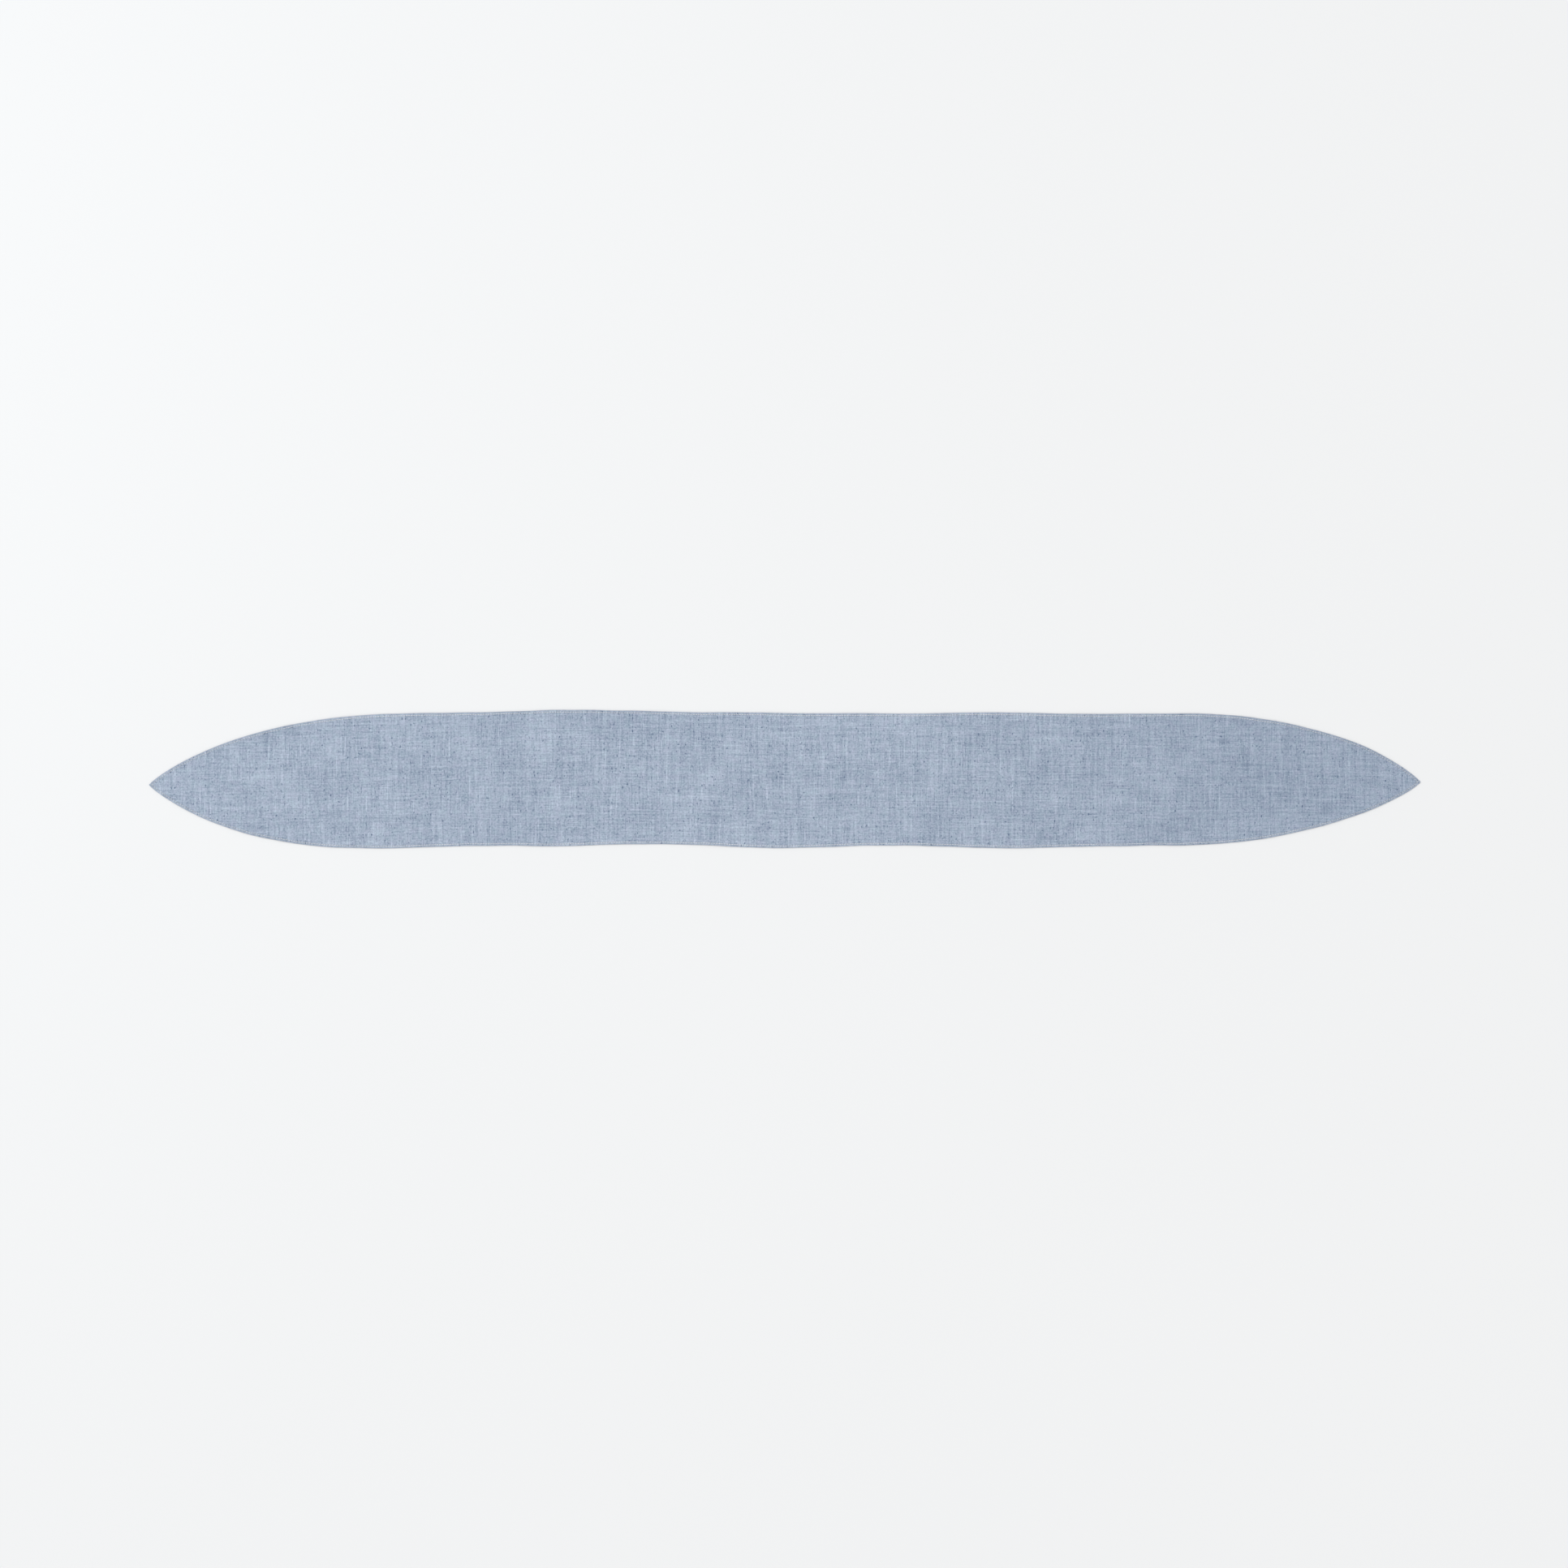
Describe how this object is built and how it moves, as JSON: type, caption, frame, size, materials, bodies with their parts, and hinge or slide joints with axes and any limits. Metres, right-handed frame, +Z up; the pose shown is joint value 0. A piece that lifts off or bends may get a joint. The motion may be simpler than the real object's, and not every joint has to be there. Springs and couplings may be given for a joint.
{
  "type": "table runner",
  "caption": "Long narrow flat table runner in light blue chambray with pointed leaf-shaped ends and a narrow machine-stitched hem all round.",
  "frame": {"origin": "middle of the underside, on the surface that the runner lies on", "axes": "+X along the runner, +Y across it to the back side, +Z up out of its face"},
  "size_m": [1.8, 0.189, 0.0014],
  "materials": {
    "chambray": "matt plain weave of light blue and white yarns with slubs",
    "seam_thread": "twisted sewing thread, off-white, slight sheen"
  },
  "bodies": {
    "root": {"cloth_panel": "chambray", "needle_thread_front": "seam_thread", "bobbin_thread_front": "seam_thread", "needle_thread_back": "seam_thread", "bobbin_thread_back": "seam_thread"}
  },
  "joints": []
}
